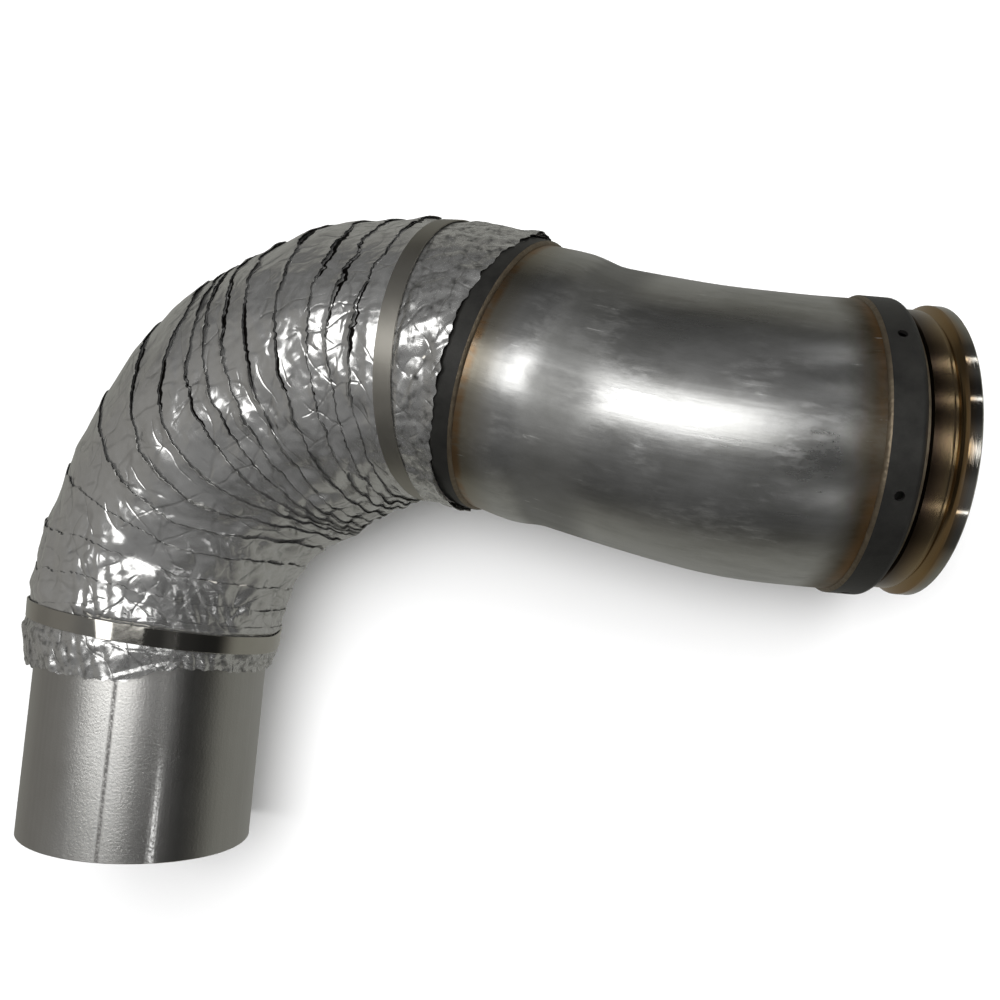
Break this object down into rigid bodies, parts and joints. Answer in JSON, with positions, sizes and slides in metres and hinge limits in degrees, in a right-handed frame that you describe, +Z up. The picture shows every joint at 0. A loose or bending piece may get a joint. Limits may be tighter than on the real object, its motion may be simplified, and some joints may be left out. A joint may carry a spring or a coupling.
{
  "type": "insulated exhaust pipe",
  "caption": "Bent truck exhaust pipe: machined clamp flange, stainless heat-shield shell with dark collars, foil-wrapped insulated elbow held by steel straps, and a bare slip-fit outlet end.",
  "frame": {"origin": "centre of the inlet flange's sealing face", "axes": "+Z up as the pipe lies at rest on a floor, +X out of the inlet along the floor, the outlet pointing along -Y"},
  "size_m": [0.4937, 0.3484, 0.1622],
  "materials": {
    "machined_steel": "machined ring, polished rim with a golden heat tint on hub and groove",
    "collar_steel": "near-black, matt, heat-blackened pressed steel",
    "shell_steel": "bare satin stainless, scratched, brown heat tint beside both collars",
    "pipe_steel": "bare satin steel tube with a longitudinal weld seam",
    "weld_steel": "weld bead, fine ripples, brown tint",
    "insulation": "fibre mat, off-white",
    "foil": "crumpled bright aluminium foil strip",
    "strap_dull": "matt grey-brown steel band",
    "strap_bright": "polished steel band"
  },
  "bodies": {
    "root": {"inlet_flange": "machined_steel", "flange_weld": "weld_steel", "inlet_collar": "collar_steel", "inlet_shell_weld": "weld_steel", "outer_shell": "shell_steel", "shell_mat": "insulation", "inlet_pipe": "pipe_steel", "neck_shell_weld": "weld_steel", "neck_collar": "collar_steel", "neck_pipe_weld": "weld_steel", "elbow_pipe": "pipe_steel", "elbow_mat": "insulation", "foil_wrap": "foil", "upper_strap": "strap_dull", "upper_strap_seal": "strap_dull", "lower_strap": "strap_bright", "lower_strap_seal": "strap_bright"}
  },
  "joints": []
}
